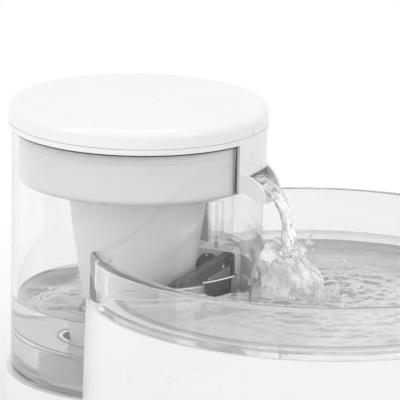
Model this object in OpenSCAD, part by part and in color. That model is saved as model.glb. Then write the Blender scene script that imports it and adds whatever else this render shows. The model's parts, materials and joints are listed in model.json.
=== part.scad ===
// Pet water fountain: a clear tank and a round drinking bowl side by side on one white base.
// The bowl lies towards -Y and the tank towards +Y. Feet stand on z = 0, at the middle of the base's box.

/* [Layout] */
// Distance from the tank's axis to the bowl's axis
axis_pitch = 110; // [104:1:116]
// Height of the deck that the tank stands on
deck_h = 31.7; // [30:0.1:36]
// Height of the base's lip under the bowl
lip_h = 88.9; // [80:0.1:96]
// Gap under a part that is lifted off
rest_gap = 0.3; // [0.2:0.05:0.4]

/* [Base] */
// Step from the bowl's rim out to the base's lip
lip_step = 1.8; // [1:0.1:3]
// Outward slope of the base under the bowl, from the lip to the floor
drum_flare = 2; // [0.5:0.1:4]
// Step from the tank's wall out to the base's deck
deck_step = 2.6; // [2.2:0.1:3.4]
// Outward slope of the base under the tank, from the deck to the floor
column_flare = 0.8; // [0.2:0.1:2]
// Wall of the base skirt
skirt_wall = 2.6; // [2:0.1:3]
// Height of the top moulding's lip band, above the seam
lip_band = 3.2; // [2.6:0.1:4]
// Wall of the top moulding round the bowl's well
well_wall = 2.5; // [2:0.1:3]
// Height of the base above the floor, on its feet
foot_h = 2.5; // [2:0.1:4]
// Radius of a rubber foot
foot_r = 8; // [6:0.5:10]
// Thickness of the bottom plate
plate_t = 2.5; // [2:0.1:3]
// Radius of the grey turret that centres the tank
turret_r = 54.4; // [50:0.2:54.6]
// Height of the turret above the deck
turret_h = 15.5; // [10:0.5:16]

/* [Tank] */
// Outer radius of the tank
tank_r = 70.2; // [69:0.1:70.6]
// Wall of the tank
tank_wall = 3.2; // [2.6:0.1:3.6]
// Height of the tank
tank_h = 138; // [130:1:150]
// Thickness of the tank's floor
tank_floor = 3; // [2.5:0.1:3.5]
// Height of the raised ring in the tank's floor
plateau_h = 20.5; // [20:0.5:24]
// Gap between the riser's foot and the sump's wall
sump_gap = 5; // [4:0.5:5.5]
// Gap between the tank and what stands round it
pocket_gap = 0.5; // [0.3:0.1:0.8]
// Step from the return windows' sill up to the overflow weir
sill_step = 1.7; // [1:0.1:3]
// Height of a return window
window_h = 12; // [10:0.5:14]
// Angle from the main axis to a window's near side
window_a0 = 13; // [13:0.5:15]
// Angle from the main axis to a window's far side
window_a1 = 34; // [30:0.5:36]

/* [Bowl] */
// Outer radius of the bowl
bowl_r = 126.2; // [125:0.2:126.8]
// Wall of the bowl above the ledge
bowl_wall = 7.2; // [5:0.1:8]
// Height of the bowl's rim above the base's lip
rim_h = 27.6; // [22:0.1:34]
// Thickness of the ledge inside the rim
ledge_t = 3.3; // [3:0.1:4]
// Width of the ledge between the bowl's wall and its basin
ledge_w = 9.5; // [7:0.5:14]
// Wall of the bowl's basin
basin_wall = 3; // [2.5:0.1:3.5]
// Depth of the basin below the base's lip
basin_depth = 27; // [22:0.5:32]
// Height of the low wall that stands along the tank
low_wall_h = 3.6; // [2:0.1:6]
// Height of the overflow weir below the base's lip
weir_drop = 1.2; // [1:0.1:1.6]

/* [Splash ramp] */
// Width of the ramp at its back
ramp_w = 30; // [24:0.5:30]
// Height of the ramp's crest above the base's lip
ramp_h = 25.6; // [20:0.2:26]
// Distance that the ramp's foot stands out from the tank
ramp_reach = 41; // [34:1:46]
// Radius of the ramp's top corners
ramp_round = 8; // [6:0.5:10]
// Radius of the ramp's toe
ramp_toe_r = 9; // [7:0.5:10]
// Height of the ramp's toe above the base's lip
ramp_toe_h = 13.6; // [11:0.2:15]
// Lean of the crest away from the tank
ramp_lean = 10.5; // [8:0.5:12]
// Wall of the ramp
ramp_wall = 2.6; // [2:0.1:3]

/* [Collar and spout] */
// Step from the tank's wall out to the collar's ring
collar_step = 1.8; // [1.4:0.1:2.2]
// Height of the collar's ring
ring_h = 3; // [2.5:0.1:4]
// Thickness of the seal under the collar's ring
gasket_t = 1; // [0.8:0.1:1.4]
// Depth of the collar's basin below the tank's rim
collar_depth = 29; // [27:0.5:31]
// Wall of the collar
collar_wall = 2.5; // [2:0.1:2.8]
// Half angle of the notch that the spout's panel fills
notch_a = 15.3; // [15:0.1:15.8]
// Depth of the notch below the tank's rim
notch_depth = 26; // [25:0.5:26.5]
// Step from the notch's side in to the spout's cheek
spout_step = 1.9; // [1.5:0.2:3.1]
// Outer width of the spout at its tip
spout_tip_w = 22; // [18:0.5:26]
// Radius of the spout's cheeks, seen from the side
cheek_r = 17.2; // [16:0.2:18]
// Thickness of the spout's cheeks
cheek_t = 2.2; // [1.8:0.1:2.6]
// Length of the spout beyond the tank's wall
spout_l = 12.2; // [11:0.2:15]
// Height of the outlet's upper edge below the tank's rim
outlet_drop = 17.5; // [17:0.5:19]
// Height of the cap
cap_h = 10.6; // [9:0.2:16]
// Radius of the cap's rounded edge
cap_edge = 5; // [3:0.5:6]
// Wall of the cap
cap_wall = 2.4; // [2:0.1:2.6]

/* [Riser and pump] */
// Outer radius of the riser cone at the collar
cone_top_r = 40; // [36:0.5:42]
// Outer radius of the riser cone at its foot
cone_foot_r = 25; // [24.5:0.25:26]
// Wall of the riser cone
cone_wall = 2.2; // [1.8:0.1:2.6]
// Radius of the impeller's pin
pin_r = 1.5; // [1.5:0.1:2.5]
// Running clearance of the impeller and the drive shaft, on the radius
run_gap = 0.08; // [0.05:0.01:0.1]
// Radius of the impeller's magnet pot
pot_r = 17; // [15:0.5:18]
// Height of the impeller's blades
blade_h = 10; // [6:0.5:12]
// Number of impeller blades
blade_n = 6; // [4:1:8]

/* [Filter] */
// Distance from the tank's inner wall to the middle of the cartridge
cart_back = 24.5; // [24:0.25:25]
// Thickness of the cartridge
cart_t = 6; // [5:0.5:6.5]
// Length of the cartridge
cart_l = 77; // [70:1:78]
// Height of the cartridge
cart_h = 27; // [22:0.5:30]
// Side step of the filter towards -X
filter_shift = 5.5; // [5:0.5:6]
// Depth of the filter tray's floor below the return windows' sill
tray_drop = 19.5; // [18:0.5:21]
// Height of the tray's end block above its floor
block_h = 29; // [26:0.5:32]
// Thickness of the end block
block_t = 12; // [10:0.5:13]
// Width of the end block
block_w = 24.4; // [23:0.2:25]
// Radius of the arch in the end block
arch_r = 9; // [7:0.5:10]

/* [Hidden] */
$fn = 128;
eps = 0.01;
big = 400;

// Layout
lip_r = bowl_r + lip_step;
drum_r = lip_r + drum_flare;
deck_r = tank_r + deck_step;
column_r = deck_r + column_flare;
basin_r = bowl_r - bowl_wall - ledge_w;
tank_y = (axis_pitch + drum_r - column_r) / 2;
bowl_y = tank_y - axis_pitch;
tank_z = deck_h + rest_gap;
tank_top = tank_z + tank_h;
tank_in = tank_r - tank_wall;
pocket_r = tank_r + pocket_gap;
bowl_z = lip_h + rest_gap;
rim_z = bowl_z + rim_h - rest_gap;
ledge_z = bowl_z + ledge_t;
weir_z = lip_h - weir_drop;
sill_z = weir_z - sill_step;

// Base
plate_z = foot_h;
plate_top = plate_z + plate_t;
plate_gap = 0.2;
edge_gap = 0.1;
band_z = lip_h - lip_band;
deck_z = deck_h - lip_band;
well_gap = 0.8;
well_r = basin_r + basin_wall + well_gap;
well_z = lip_h - basin_depth - basin_wall - well_gap;
screen_wall = well_wall;
well_flange_w = 3;
well_flange_t = 1.2;
boss_r = 4;
screw_r = 1.5;
screw_core_r = screw_r - 0.2;
screw_fit = 0.3;
screw_sink = 0.2;
screw_key_r = 1.3;
screw_head_r = 3;
screw_head_h = 1.6;
screw_grip = 8;
deck_post_r = column_r - skirt_wall - boss_r - 2;
deck_post_a = [-16, 27];
well_post_r = well_r - boss_r - 2;
well_post_a = [-17, -55];
foot_seat = 1;
foot_fit = 0.1;
foot_edge = 1;
cup_wall = 2;
cup_h = 6;
foot_clear = 7.2;
drum_foot_r = drum_r - skirt_wall - foot_r - foot_clear;
drum_foot_a = [3, -69];
column_foot_r = column_r - skirt_wall - foot_r - foot_clear / 1.5;
column_foot_a = 41;
vent_n = 7;
vent_w = 3;
vent_pitch = 7;
vent_l = 30;
turret_flange_r = turret_r + 2.6;
turret_flange_t = 1.6;
turret_rest = 3;
turret_edge_r = 3;
turret_wall = 2.5;
turret_disc_r = turret_flange_r - turret_rest - rest_gap;
sump_r = cone_foot_r + sump_gap;
turret_in_r = sump_r + tank_floor + 1;
recess_r = turret_r + 0.8;
recess_h = plateau_h - tank_floor;
plateau_r = recess_r + 2.5;

// Drive
motor_r = 21;
motor_z = plate_top + 2;
motor_h = 14;
can_wall = 1.5;
can_floor = 2;
core_t = 2.5;
coil_w = 6;
shaft_r = 2;
bearing_r = 5;
bearing_h = 3;
disc_r = 19;
disc_t = 1.6;
disc_z = motor_z + motor_h + 0.8;
magnet_t = 3.4;
magnet_in_r = 9;
magnet_step = 0.5;
drive_gap = 0.6;
turret_disc_z = disc_z + disc_t + magnet_t + drive_gap;

// Power socket and control board
inlet_z = 13;
inlet_r = 4;
inlet_bore_r = 2.8;
inlet_fit = 0.15;
inlet_set = 1.2;
inlet_neck = 4;
inlet_body = 11;
inlet_lap = 0.7;
inlet_back = column_r - inlet_set - inlet_neck - inlet_body + inlet_lap;
inlet_pin_r = 0.9;
board_w = 48;
board_l = 18;
board_t = 1.6;
board_lift = 3;
board_gap = 2.1;
board_y = inlet_back - board_gap - board_l;
board_post_r = 2.4;
board_post_x = 18;
chip_l = 10;
chip_h = 2.4;
cell_r = 3;
cell_h = 8;
plug_l = 7;
plug_h = 3;

// Tank, collar and cap
gasket_z = tank_top;
ring_z = tank_top + gasket_t;
cap_z = ring_z + ring_h;
seat_gap = 0.2;
collar_r = tank_r + collar_step;
collar_out = tank_in - 0.6;
collar_in = collar_out - collar_wall;
collar_z = tank_top - collar_depth;
line_drop = 5.5;
line_h = 0.7;
line_depth = 0.5;
notch_z = tank_top - notch_depth;
spout_w = 2 * (tank_r * sin(notch_a) - spout_step);
spout_reach = tank_r + spout_l;
spout_tip_z = notch_z - 6;
panel_a = notch_a - 0.6;
outlet_z = tank_top - outlet_drop;
weir_lip_z = notch_z + 2.3;
spigot_step = 5.6;
spigot_r = collar_r - spigot_step;
spigot_wall = 2.1;
spigot_h = 5;
lug_a = 9;
lug_n = 3;
spigot_lug_r = spigot_r + 2.2;
spigot_lug_h = 1.8;
cap_in = collar_r - 0.2 - cap_wall;
cap_lug_r = spigot_r + 0.6;
cap_lug_h = 2.3;
mark_a = -4.5;
mark_t = 0.35;

// Bowl
rim_round = 2.4;
low_wall_t = 3;
tip_u = 6;
end_t = 7;
chute_t = 2.6;
ramp_root = 3;

// Riser and pump
cone_z = tank_z + tank_floor + 0.6;
cone_flange_t = 2;
cone_flange_w = 5;
cone_fit = 0.4;
riser_seal_t = 1.2;
cone_flange_z = collar_z + collar_wall + riser_seal_t;
cone_top_z = cone_flange_z + cone_flange_t;
cone_neck_z = collar_z;
guide_z = tank_z + 24;
guide_h = 8;
guide_ledge = 1.6;
guide_gap = 0.1;
guide_wall = 1.8;
guide_hub_r = 6;
vane_t = 1.6;
inlet_h = 8;
inlet_w = 10;
inlet_n = 6;
pot_z = tank_z + tank_floor + 1.2;
pot_h = 6.4;
pot_wall = 1.2;
hub_r = 4.6;
blade_t = 1.6;
blade_r = pot_r + 1;
hub_top = pot_z + pot_h + blade_h + 1;
pin_root_z = tank_z + 1.2;
pin_boss_r = 4;
cap_pin_z = hub_top + 0.3;
cap_pin_h = 3;
cap_pin_wall = 1.6;
pin_top_z = cap_pin_z + 2;

// Filter
tray_z = sill_z - tray_drop;
tray_t = 2;
tray_gap = 0.8;
tray_r = tank_in - tray_gap;
tray_inner_u = 19;
tray_rim_h = 13;
tray_rim_t = 2;
cone_clear = 3;
cart_u = tank_in - cart_back;
cart_z = tray_z + tray_t + 0.4;
cart_top = cart_z + cart_h;
cart_x0 = -filter_shift - cart_l / 2;
cart_x1 = cart_x0 + cart_l;
cart_rim = 3;
pad_t = cart_t - 2;
rib_w = 2;
rib_h = 1.2;
rib_pitch = 4;
rib_n = floor(cart_l / rib_pitch);
post_gap = 0.6;
post_w = 3.8;
slot_w = 3;
slot_pitch = 8;
slot_n = 9;
block_x0 = cart_x1 + 0.8;
block_x1 = block_x0 + block_t;
block_u1 = cart_u + 1.9;
block_u0 = block_u1 - block_w;
fin_t = 2;
fin_gap = 0.4;
arch_u = block_u0 + 9.5;
fin_u = arch_u + 2.8;
fin_in = block_x0 + 3;
fin_top = tank_top - collar_depth - 3;
arch_z = cart_z + 15;
foam_set = 0.8;
foam_gap = 0.1;

white = [0.93, 0.93, 0.92];
clear = [0.82, 0.87, 0.9, 0.35];

// A point's place is its distance u from the tank's axis towards the bowl, and x across.
module at_tank(z = 0) {
    translate([0, tank_y, z]) children();
}

module at_bowl(z = 0) {
    translate([0, bowl_y, z]) children();
}

// A wedge about the z axis, between two angles from the main axis, positive towards +X
module wedge(a0, a1, h) {
    linear_extrude(h) polygon([[0, 0], for (a = [a0, (a0 + a1) / 2, a1]) big * [sin(a), -cos(a)]]);
}

// A box from its low corner to its high corner, in x, u and z
module block(x, u, z) {
    translate([x[0], -u[1], z[0]]) cube([x[1] - x[0], u[1] - u[0], z[1] - z[0]]);
}

module ring(r_out, r_in, h) {
    difference() {
        cylinder(r = r_out, h = h);
        translate([0, 0, -1]) cylinder(r = r_in, h = h + 2);
    }
}

// What a rounding removes from a sharp corner whose material lies towards (dx, dz)
module sharp(x, z, r, dx, dz) {
    translate([x, z]) difference() {
        translate([dx > 0 ? -1 : -r, dz > 0 ? -1 : -r]) square(r + 1);
        translate([dx * r, dz * r]) circle(r, $fn = 64);
    }
}

// A place at a distance r from an axis, a degrees up from the X axis, on either side
module ray(side, a, r) {
    translate([side * r * cos(a), r * sin(a), 0]) children();
}

// Screw posts under the deck and under the well, in mirrored pairs
module at_deck_posts() {
    for (side = [-1, 1], a = deck_post_a) at_tank() ray(side, a, deck_post_r) children();
}

module at_well_posts() {
    for (side = [-1, 1], a = well_post_a) at_bowl() ray(side, a, well_post_r) children();
}

module at_posts() {
    at_deck_posts() children();
    at_well_posts() children();
}

// The base's outer form between two heights, grown by a margin
module base_form(z0, z1_tank, z1_bowl, inset) {
    column_k = (column_r - deck_r) / (deck_h - foot_h);
    drum_k = (drum_r - lip_r) / (lip_h - foot_h);
    at_tank(z0) cylinder(r1 = column_r - column_k * (z0 - foot_h) - inset,
        r2 = column_r - column_k * (z1_tank - foot_h) - inset, h = z1_tank - z0);
    difference() {
        at_bowl(z0) cylinder(r1 = drum_r - drum_k * (z0 - foot_h) - inset,
            r2 = drum_r - drum_k * (z1_bowl - foot_h) - inset, h = z1_bowl - z0);
        at_tank(z1_tank) cylinder(r = pocket_r + inset, h = big);
    }
}

// The well that the bowl's basin hangs in, grown by a margin
module well_form(z0, grow) {
    difference() {
        at_bowl(z0) cylinder(r = well_r + grow, h = big);
        at_tank(z0 - 1) cylinder(r = pocket_r + screen_wall - grow, h = big + 2);
    }
}

module base_skirt() {
    color(white) difference() {
        base_form(foot_h, deck_z, band_z, 0);
        difference() {
            translate([0, 0, -1]) base_form(foot_h, deck_z + 2, band_z + 2, skirt_wall);
            at_tank(deck_z) cylinder(r = pocket_r, h = big);
        }
        at_tank(deck_z) cylinder(r = pocket_r + skirt_wall + edge_gap, h = big);
        at_tank(inlet_z) inlet_hole();
    }
}

// The top moulding: deck, screen round the tank and lip band, open where the well hangs in it
module base_top() {
    color(white) difference() {
        union() {
            difference() {
                base_form(deck_z, deck_h, lip_h, 0);
                difference() {
                    base_form(deck_z - 1, deck_z + eps, band_z, -well_wall);
                    at_tank(deck_z - 2) cylinder(r = pocket_r + screen_wall, h = big);
                }
            }
            at_deck_posts() post(deck_z);
        }
        well_form(well_z - well_wall, well_wall);
        well_flange(big);
        at_tank(deck_z - 1) cylinder(r = turret_flange_r - turret_rest, h = lip_h);
        at_tank(deck_h - turret_flange_t) cylinder(r = turret_flange_r + seat_gap, h = lip_h);
        at_deck_posts() screw_bore();
    }
}

// The well that the bowl's basin hangs in, with a flange let in flush with the lip
module bowl_well() {
    color(white) difference() {
        union() {
            intersection() {
                well_form(well_z - well_wall, well_wall);
                translate([0, 0, lip_h / 2]) cube([big, 2 * big, lip_h], center = true);
            }
            well_flange(well_flange_t);
            at_well_posts() post(well_z - well_wall);
        }
        at_well_posts() screw_bore();
        well_form(well_z, 0);
        weir_gap(weir_z - ledge_t - 0.8, pocket_r - 2, pocket_r + screen_wall + 2);
    }
}

// A screw post from the bottom plate up into the moulding whose underside is at z
module post(z) {
    translate([0, 0, plate_top]) cylinder(r = boss_r, h = z + 1 - plate_top);
}

module well_flange(h) {
    difference() {
        at_bowl(lip_h - well_flange_t) cylinder(r = well_r + well_wall + well_flange_w, h = h);
        at_tank(well_z) cylinder(r = pocket_r, h = big);
    }
}

module screw_bore() {
    translate([0, 0, plate_top - 1]) cylinder(r = screw_core_r, h = screw_grip + 1);
}

// The overflow gap in whatever stands between the bowl's basin and the tank
module weir_gap(z, r_in, r_out) {
    at_tank(z) intersection() {
        ring(r_out, r_in, big);
        wedge(-window_a1 - 0.6, window_a1 + 0.6, big);
    }
}

module base_plate() {
    color([0.85, 0.85, 0.84]) difference() {
        union() {
            intersection() {
                translate([0, 0, plate_z]) linear_extrude(plate_t) square(2 * big, center = true);
                base_form(foot_h - 1, deck_z, band_z, skirt_wall + plate_gap);
            }
            at_tank(plate_top - eps) ring(motor_r + seat_gap + cup_wall, motor_r + seat_gap, cup_h);
        }
        at_feet(plate_z - 1) cylinder(r = foot_r + foot_fit, h = 1 + foot_seat);
        at_posts() translate([0, 0, plate_z - 1]) {
            cylinder(r = screw_r + screw_fit, h = plate_t + 2);
            cylinder(r = screw_head_r + screw_fit, h = 1 + screw_head_h);
        }
        for (i = [0:vent_n - 1]) at_bowl(plate_z - 1) {
            translate([(i - (vent_n - 1) / 2) * vent_pitch - vent_w / 2, -vent_l / 2, 0]) {
                cube([vent_w, vent_l, plate_t + 2]);
            }
        }
    }
}

// Rubber feet: two pairs under the bowl and one under the tank
module at_feet(z) {
    for (side = [-1, 1]) {
        at_tank(z) ray(side, column_foot_a, column_foot_r) children();
        for (a = drum_foot_a) at_bowl(z) ray(side, a, drum_foot_r) children();
    }
}

module base_feet() {
    color([0.2, 0.2, 0.21]) at_feet(0) rotate_extrude() difference() {
        square([foot_r, plate_z + foot_seat]);
        sharp(foot_r, 0, foot_edge, -1, 1);
    }
}

module base_screws() {
    color([0.7, 0.7, 0.72]) at_posts() {
        translate([0, 0, plate_z + screw_sink]) difference() {
            cylinder(r = screw_head_r, h = screw_head_h - screw_sink);
            translate([0, 0, -screw_head_h / 2]) cylinder(r = screw_key_r, h = screw_head_h, $fn = 6);
        }
        translate([0, 0, plate_z + screw_head_h - eps]) {
            cylinder(r = screw_core_r, h = screw_grip + plate_t - screw_head_h - screw_fit);
        }
    }
}

// Grey turret: its disc closes the deck over the drive, and its ring centres the tank
module tank_turret() {
    color([0.55, 0.56, 0.58]) at_tank() rotate_extrude() difference() {
        union() {
            translate([0, turret_disc_z]) square([turret_disc_r, deck_h - turret_disc_z]);
            translate([0, deck_h - turret_flange_t]) square([turret_flange_r, turret_flange_t]);
            translate([turret_in_r, deck_h - eps]) square([turret_r - turret_in_r, turret_h]);
        }
        sharp(turret_r, deck_h + turret_h - eps, turret_edge_r, -1, -1);
        sharp(turret_in_r, deck_h + turret_h - eps, turret_edge_r, 1, -1);
        translate([turret_in_r + turret_wall, plate_z]) {
            square([turret_r - turret_in_r - 2 * turret_wall, deck_h + turret_h - turret_wall - plate_z]);
        }
    }
}

module motor_can() {
    color([0.75, 0.76, 0.78]) at_tank(motor_z) difference() {
        cylinder(r = motor_r, h = motor_h);
        translate([0, 0, can_floor]) cylinder(r = motor_r - can_wall, h = motor_h - can_floor - can_wall);
        translate([0, 0, -1]) cylinder(r = bearing_r, h = motor_h + 2);
    }
}

// Six wound coils on a core ring, inside the can
module motor_windings() {
    core_h = motor_h - can_floor - can_wall;
    color([0.72, 0.42, 0.2]) at_tank(motor_z + can_floor) {
        ring(motor_r - can_wall, motor_r - can_wall - core_t, core_h);
        for (i = [0:5]) rotate(i * 60) translate([bearing_r + core_t, -coil_w / 2, core_t]) {
            cube([motor_r - can_wall - bearing_r - 1.5 * core_t, coil_w, core_h - 2 * core_t]);
        }
    }
}

module shaft_bearings() {
    color([0.8, 0.65, 0.3]) at_tank() {
        for (z = [motor_z, motor_z + motor_h - bearing_h]) {
            translate([0, 0, z]) ring(bearing_r, shaft_r + run_gap, bearing_h);
        }
    }
}

module drive_shaft() {
    color([0.75, 0.76, 0.78]) at_tank(motor_z - 1) cylinder(r = shaft_r, h = disc_z + disc_t - motor_z + 1);
}

module drive_disc() {
    color([0.6, 0.6, 0.62]) at_tank(disc_z) ring(disc_r, shaft_r, disc_t);
}

module drive_magnets() {
    color([0.3, 0.3, 0.33]) at_tank(disc_z + disc_t) {
        for (i = [0:3]) intersection() {
            ring(disc_r - magnet_step, magnet_in_r, magnet_t);
            rotate(i * 90) wedge(-40, 40, magnet_t);
        }
    }
}

module control_board() {
    color([0.1, 0.35, 0.2]) at_tank(plate_top) {
        for (sx = [-1, 1]) translate([sx * board_post_x, board_y + board_l / 2, 0]) {
            cylinder(r = board_post_r, h = board_lift);
        }
        translate([-board_w / 2, board_y, board_lift]) cube([board_w, board_l, board_t]);
        translate([0, board_y + board_l / 4, board_lift + board_t - eps]) {
            translate([-board_w / 3, 0, 0]) cube([chip_l, chip_l, chip_h]);
            cylinder(r = cell_r, h = cell_h);
            translate([board_w / 5, 0, 0]) cube([plug_l, plug_l, plug_h]);
        }
    }
}

// The power socket's hole through the skirt
module inlet_hole() {
    translate([0, deck_r - inlet_body, 0]) rotate([-90, 0, 0]) {
        cylinder(r = inlet_r + inlet_fit, h = 2 * inlet_body);
    }
}

module power_inlet() {
    color([0.12, 0.12, 0.13]) at_tank(inlet_z) {
        difference() {
            union() {
                inlet_rod(inlet_set, inlet_r, inlet_neck);
                translate([-inlet_body / 2, inlet_back, -inlet_body / 2]) cube(inlet_body);
            }
            inlet_rod(0, inlet_bore_r, inlet_body);
        }
        inlet_rod(inlet_set + 1, inlet_pin_r, inlet_body - 1);
    }
}

// A rod inward from the skirt, set back from its outer face
module inlet_rod(set, r, h) {
    translate([0, column_r - set, 0]) rotate([90, 0, 0]) cylinder(r = r, h = h);
}

// Clear tank: raised ring in its floor, notch for the spout's panel, two return windows, fin and lugs
module tank_shell() {
    color(clear) at_tank() difference() {
        union() {
            difference() {
                rotate_extrude() difference() {
                    translate([0, tank_z]) square([tank_r, tank_h]);
                    sharp(tank_r, tank_z, 2, -1, 1);
                }
                tank_cavity();
            }
            translate([0, 0, pin_root_z - 1.2]) cylinder(r = pin_boss_r, h = tank_floor + 1);
        }
        rotate_extrude() {
            translate([sump_r + tank_floor, tank_z - 1]) {
                square([recess_r - sump_r - tank_floor, recess_h + 1]);
            }
        }
        translate([0, 0, notch_z]) wedge(-notch_a, notch_a, big);
        for (side = [-1, 1]) translate([0, 0, sill_z]) intersection() {
            ring(tank_r + 2, tank_in - 4, window_h);
            wedge(side * window_a0, side * window_a1, window_h);
        }
        translate([0, 0, pin_root_z]) cylinder(r = pin_r, h = 20);
    }
}

// The space inside the tank, less the raised ring, the tray's lugs and the guide fin
module tank_cavity() {
    difference() {
        translate([0, 0, tank_z + tank_floor]) cylinder(r = tank_in, h = tank_h);
        rotate_extrude() difference() {
            translate([sump_r, tank_z]) square([plateau_r - sump_r, plateau_h]);
            sharp(plateau_r, tank_z + plateau_h, 3, -1, -1);
            sharp(sump_r, tank_z + plateau_h, 3, 1, -1);
        }
        block([fin_in, tank_in + 1], [fin_u - fin_t / 2, fin_u + fin_t / 2], [tray_z + tray_t + 6, fin_top]);
        for (a = [-58, -8, 58]) intersection() {
            rotate(a) block([-4, 4], [tank_in - 7, tank_in + 1], [tray_z - 6, tray_z - rest_gap]);
            rotate_extrude() {
                polygon([[tank_in - 7, tray_z], [tank_in + 2, tray_z], [tank_in + 2, tray_z - 8]]);
            }
        }
    }
}

// Dark seal on the tank's rim and down the notch's sides
module tank_gasket() {
    color([0.12, 0.12, 0.14]) at_tank() difference() {
        union() {
            translate([0, 0, gasket_z]) ring(tank_r + 0.6, tank_in - 0.1, gasket_t);
            for (side = [-1, 1]) translate([0, 0, notch_z]) intersection() {
                ring(tank_r, tank_in, notch_depth + gasket_t / 2);
                wedge(side * (notch_a - 0.45), side * notch_a, big);
            }
        }
        translate([0, 0, gasket_z - 1]) wedge(0.45 - notch_a, notch_a - 0.45, big);
    }
}

// Soft seals round the return windows, flush with the tank's wall
module return_seals() {
    color([0.75, 0.78, 0.8]) at_tank(sill_z) {
        for (side = [-1, 1]) difference() {
            intersection() {
                ring(tank_r, tank_in, window_h);
                wedge(side * window_a0, side * window_a1, window_h);
            }
            translate([0, 0, 1]) wedge(side * (window_a0 + 1), side * (window_a1 - 1), window_h - 2);
        }
    }
}

module impeller_pin() {
    color([0.75, 0.76, 0.78]) at_tank(pin_root_z) cylinder(r = pin_r, h = pin_top_z - pin_root_z);
}

module pin_cap() {
    color([0.15, 0.15, 0.16]) at_tank(cap_pin_z) difference() {
        cylinder(r = pin_r + cap_pin_wall, h = cap_pin_h);
        translate([0, 0, -1]) cylinder(r = pin_r, h = pin_top_z - cap_pin_z + 1);
    }
}

module impeller() {
    color([0.9, 0.9, 0.89]) at_tank() difference() {
        union() {
            translate([0, 0, pot_z]) cylinder(r = pot_r, h = pot_h);
            translate([0, 0, pot_z]) cylinder(r = hub_r, h = hub_top - pot_z);
            for (i = [0:blade_n - 1]) rotate(i * 360 / blade_n) {
                translate([hub_r - 1, -blade_t / 2, pot_z + pot_h - 1]) {
                    cube([blade_r - hub_r + 1, blade_t, blade_h + 1]);
                }
            }
        }
        translate([0, 0, pot_z + pot_wall]) pot_magnet();
        translate([0, 0, pot_z - 1]) cylinder(r = pin_r + run_gap, h = big);
    }
}

module impeller_magnet() {
    color([0.3, 0.3, 0.33]) at_tank(pot_z + pot_wall) pot_magnet();
}

module pot_magnet() {
    ring(pot_r - pot_wall, magnet_in_r - 1, pot_h - 2 * pot_wall);
}

// White collar: ring on the tank's rim, basin inside the tank, spout's panel, trough and cheeks
module collar() {
    color(white) at_tank() {
        difference() {
            union() {
                collar_body();
                for (i = [0:lug_n - 1]) rotate(i * 360 / lug_n) {
                    translate([0, 0, cap_z + spigot_h - spigot_lug_h]) intersection() {
                        ring(spigot_lug_r, spigot_r - 1, spigot_lug_h);
                        wedge(-lug_a, lug_a, spigot_lug_h);
                    }
                }
                align_mark();
            }
            outlet_opening(spout_w / 2 - cheek_t);
            translate([0, 0, collar_z - 1]) cylinder(r = cone_top_r + cone_fit, h = collar_wall + 2);
        }
        spout();
    }
}

module outlet_opening(half) {
    block([-half, half], [collar_in - 2 * cheek_t, collar_r + 1], [weir_lip_z, outlet_z]);
}

// Ring, basin, spigot and, inside the notch's angle only, the panel
module collar_body() {
    difference() {
        rotate_extrude() difference() {
            union() {
                collar_outside();
                translate([collar_out - 2, notch_z + rest_gap]) {
                    square([collar_r - collar_out + 2, ring_z - notch_z]);
                }
                translate([0, ring_z]) square([collar_r, ring_h]);
                translate([0, cap_z - eps]) square([spigot_r, spigot_h + eps]);
            }
            difference() {
                translate([-1, collar_z + collar_wall]) square([collar_in + 1, big]);
                sharp(collar_in, collar_z + collar_wall, 2.5, -1, 1);
            }
            translate([-1, cap_z - eps]) square([spigot_r - spigot_wall + 1, big]);
        }
        difference() {
            rotate_extrude() difference() {
                translate([collar_out - 5, collar_z - 1]) {
                    square([collar_r - collar_out + 10, ring_z - collar_z + 1]);
                }
                collar_outside();
            }
            wedge(-panel_a, panel_a, big);
        }
    }
}

// Half section of the basin's outer form, with the fine line under the tank's rim
module collar_outside() {
    difference() {
        translate([0, collar_z]) square([collar_out, ring_z - collar_z + 1]);
        sharp(collar_out, collar_z, 4, -1, 1);
        translate([collar_out - line_depth, tank_top - line_drop]) square([1, line_h]);
    }
}

// Trough between two rounded cheeks, falling to the tip
module spout() {
    difference() {
        intersection() {
            spout_slab(spout_w) intersection() {
                union() {
                    translate([spout_reach - cheek_r, spout_tip_z]) circle(r = cheek_r);
                    translate([collar_out - 1, notch_z - 4]) {
                        square([collar_r - collar_out - 1, outlet_z - notch_z + 8]);
                    }
                }
                polygon([[collar_out - 1, notch_z + rest_gap], [tank_r, notch_z + rest_gap],
                    [spout_reach, spout_tip_z], [spout_reach, tank_top], [collar_out - 1, tank_top]]);
            }
            spout_plan(0);
        }
        intersection() {
            spout_slab(spout_w) polygon([[collar_in - 3, weir_lip_z], [tank_r - 1, weir_lip_z],
                [spout_reach + 1, spout_tip_z + 1], [spout_reach + 1, tank_top], [collar_r, tank_top],
                [collar_r, outlet_z], [collar_in - 3, outlet_z]]);
            spout_plan(cheek_t);
        }
    }
}

// The trough's plan: parallel in the tank's notch, then drawn in to the tip
module spout_plan(inset) {
    root = spout_w / 2 - inset;
    tip = spout_tip_w / 2 - inset;
    linear_extrude(big) polygon([[-root, 0], [-root, -tank_r], [-tip, -spout_reach - eps],
        [tip, -spout_reach - eps], [root, -tank_r], [root, 0]]);
}

// A section in u and z, drawn out across the main axis
module spout_slab(w) {
    rotate([90, 0, -90]) translate([0, 0, -w / 2]) linear_extrude(w) children();
}

// Generic alignment marks: a drop and a bar on the panel, a tick on the cap
module align_mark() {
    rotate(mark_a) translate([0, -collar_r + 1, tank_top - 7]) rotate([90, 0, 0]) {
        cylinder(r = 1.7, h = 1 + mark_t);
        translate([-1.2, 0, 0]) linear_extrude(1 + mark_t) polygon([[-0.3, 0.8], [2.7, 0.8], [1.2, 4]]);
        translate([-2.2, -4, 0]) cube([4.4, 0.8, 1 + mark_t]);
    }
}

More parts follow.
